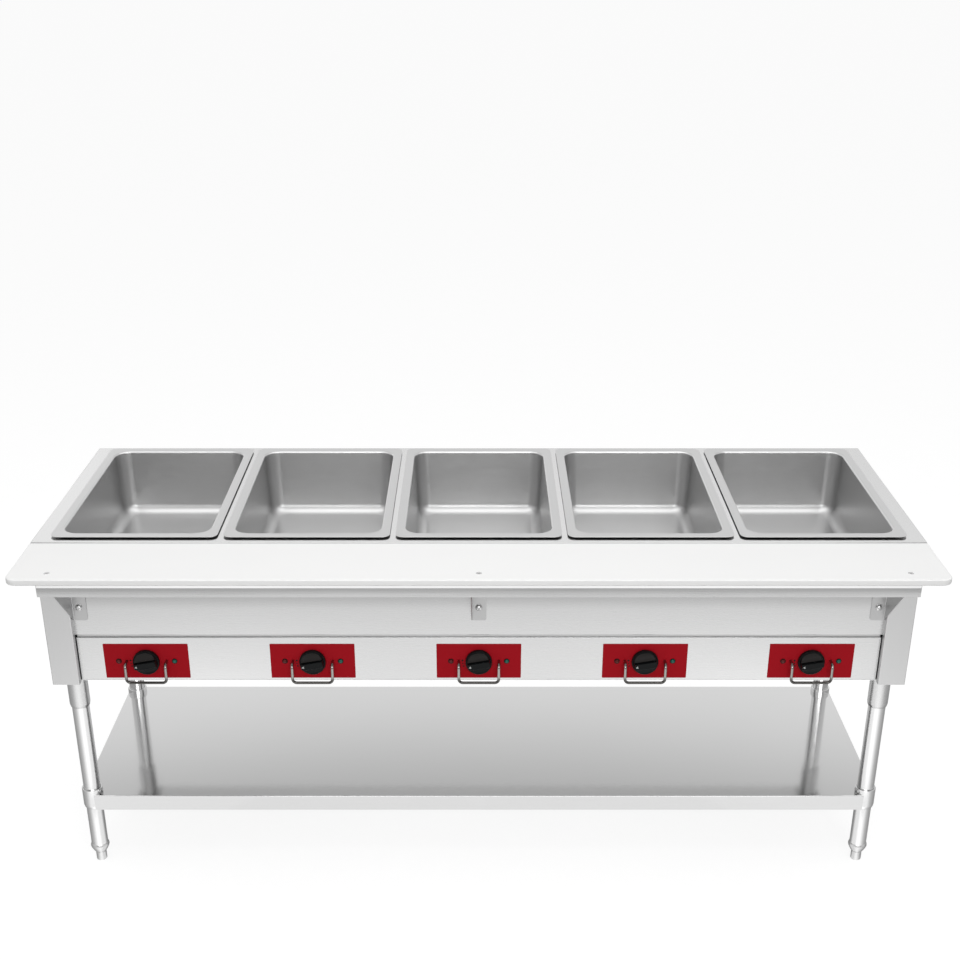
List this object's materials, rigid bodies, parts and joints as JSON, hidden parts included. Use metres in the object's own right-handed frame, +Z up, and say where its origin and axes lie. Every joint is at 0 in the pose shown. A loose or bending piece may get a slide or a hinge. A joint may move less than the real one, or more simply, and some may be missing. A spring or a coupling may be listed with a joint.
{
  "type": "electric bain-marie",
  "caption": "Floor-standing electric bain-marie: steel top with lift-out well pans, front cutting board, knob-controlled heating wells, tubular legs on screw feet and a sliding undershelf.",
  "frame": {"origin": "on the floor, under the middle of the table's plan", "axes": "+X along the row of wells to the right, +Y from the board to the back, +Z up"},
  "size_m": [1.844, 0.776, 0.8462],
  "materials": {
    "stainless": "brushed stainless sheet",
    "pan_steel": "satin stainless pressing",
    "shelf_steel": "bright stainless sheet",
    "tube_steel": "polished stainless tube",
    "galvanised": "galvanised sheet",
    "element_steel": "heat-darkened nickel steel tube",
    "guard_wire": "bright bent wire",
    "fasteners": "stainless fasteners",
    "board_plastic": "white polyethylene with a fine grain",
    "plate_red": "red enamelled plate",
    "knob_black": "black moulded plastic",
    "lamp_red": "unlit red lens",
    "lamp_green": "green lens",
    "switch_body": "moulded insulator",
    "fibre": "glass-fibre blanket",
    "cable": "black sleeving",
    "gland_black": "black nylon"
  },
  "bodies": {
    "frame": {"top_panel": "stainless", "left_end_panel": "stainless", "right_end_panel": "stainless", "rear_panel": "stainless", "front_apron": "stainless", "control_panel": "stainless", "bottom_panel": "stainless", "board_rail": "stainless", "left_bracket": "stainless", "centre_bracket": "stainless", "right_bracket": "stainless", "well_deck": "galvanised", "well_liner_1": "galvanised", "well_liner_2": "galvanised", "well_liner_3": "galvanised", "well_liner_4": "galvanised", "well_liner_5": "galvanised", "element_supports": "galvanised", "well_insulation": "fibre", "heating_element_1": "element_steel", "heating_element_2": "element_steel", "heating_element_3": "element_steel", "heating_element_4": "element_steel", "heating_element_5": "element_steel", "cutting_board": "board_plastic", "board_screws": "fasteners", "bracket_bolts": "fasteners", "switch_plates": "plate_red", "heat_switches": "switch_body", "terminal_block": "switch_body", "knob_guards": "guard_wire", "power_lamps": "lamp_red", "heat_lamps": "lamp_green", "legs": "tube_steel", "leg_sockets": "tube_steel", "foot_inserts": "tube_steel", "cable_gland": "gland_black", "wiring_loom": "cable"},
    "pan_1": {"well_pan_1": "pan_steel"},
    "pan_2": {"well_pan_2": "pan_steel"},
    "pan_3": {"well_pan_3": "pan_steel"},
    "pan_4": {"well_pan_4": "pan_steel"},
    "pan_5": {"well_pan_5": "pan_steel"},
    "dial_1": {"knob_1": "knob_black", "switch_shaft_1": "fasteners"},
    "dial_2": {"knob_2": "knob_black", "switch_shaft_2": "fasteners"},
    "dial_3": {"knob_3": "knob_black", "switch_shaft_3": "fasteners"},
    "dial_4": {"knob_4": "knob_black", "switch_shaft_4": "fasteners"},
    "dial_5": {"knob_5": "knob_black", "switch_shaft_5": "fasteners"},
    "shelf": {"undershelf": "shelf_steel", "shelf_sleeves": "tube_steel", "shelf_screws": "fasteners"},
    "front_left_foot_screw": {"front_left_foot": "tube_steel"},
    "front_right_foot_screw": {"front_right_foot": "tube_steel"},
    "rear_left_foot_screw": {"rear_left_foot": "tube_steel"},
    "rear_right_foot_screw": {"rear_right_foot": "tube_steel"}
  },
  "joints": [
    {"name": "pan_1_lift", "type": "slide", "parent": "frame", "child": "pan_1", "axis": [0, 0, 1], "range_m": [0, 0.25]},
    {"name": "pan_2_lift", "type": "slide", "parent": "frame", "child": "pan_2", "axis": [0, 0, 1], "range_m": [0, 0.25]},
    {"name": "pan_3_lift", "type": "slide", "parent": "frame", "child": "pan_3", "axis": [0, 0, 1], "range_m": [0, 0.25]},
    {"name": "pan_4_lift", "type": "slide", "parent": "frame", "child": "pan_4", "axis": [0, 0, 1], "range_m": [0, 0.25]},
    {"name": "pan_5_lift", "type": "slide", "parent": "frame", "child": "pan_5", "axis": [0, 0, 1], "range_m": [0, 0.25]},
    {"name": "dial_1_turn", "type": "hinge", "parent": "frame", "child": "dial_1", "pos_m": [-0.715, -0.1855, 0.5578], "axis": [0, 1, 0], "range_deg": [0, 270]},
    {"name": "dial_2_turn", "type": "hinge", "parent": "frame", "child": "dial_2", "pos_m": [-0.3575, -0.1855, 0.5578], "axis": [0, 1, 0], "range_deg": [0, 270]},
    {"name": "dial_3_turn", "type": "hinge", "parent": "frame", "child": "dial_3", "pos_m": [0, -0.1855, 0.5578], "axis": [0, 1, 0], "range_deg": [0, 270]},
    {"name": "dial_4_turn", "type": "hinge", "parent": "frame", "child": "dial_4", "pos_m": [0.3575, -0.1855, 0.5578], "axis": [0, 1, 0], "range_deg": [0, 270]},
    {"name": "dial_5_turn", "type": "hinge", "parent": "frame", "child": "dial_5", "pos_m": [0.715, -0.1855, 0.5578], "axis": [0, 1, 0], "range_deg": [0, 270]},
    {"name": "shelf_slide", "type": "slide", "parent": "frame", "child": "shelf", "axis": [0, 0, 1], "range_m": [-0.06, 0.18]},
    {"name": "front_left_foot_travel", "type": "slide", "parent": "frame", "child": "front_left_foot_screw", "axis": [0, 0, -1], "range_m": [0, 0.025]},
    {"name": "front_right_foot_travel", "type": "slide", "parent": "frame", "child": "front_right_foot_screw", "axis": [0, 0, -1], "range_m": [0, 0.025]},
    {"name": "rear_left_foot_travel", "type": "slide", "parent": "frame", "child": "rear_left_foot_screw", "axis": [0, 0, -1], "range_m": [0, 0.025]},
    {"name": "rear_right_foot_travel", "type": "slide", "parent": "frame", "child": "rear_right_foot_screw", "axis": [0, 0, -1], "range_m": [0, 0.025]}
  ]
}
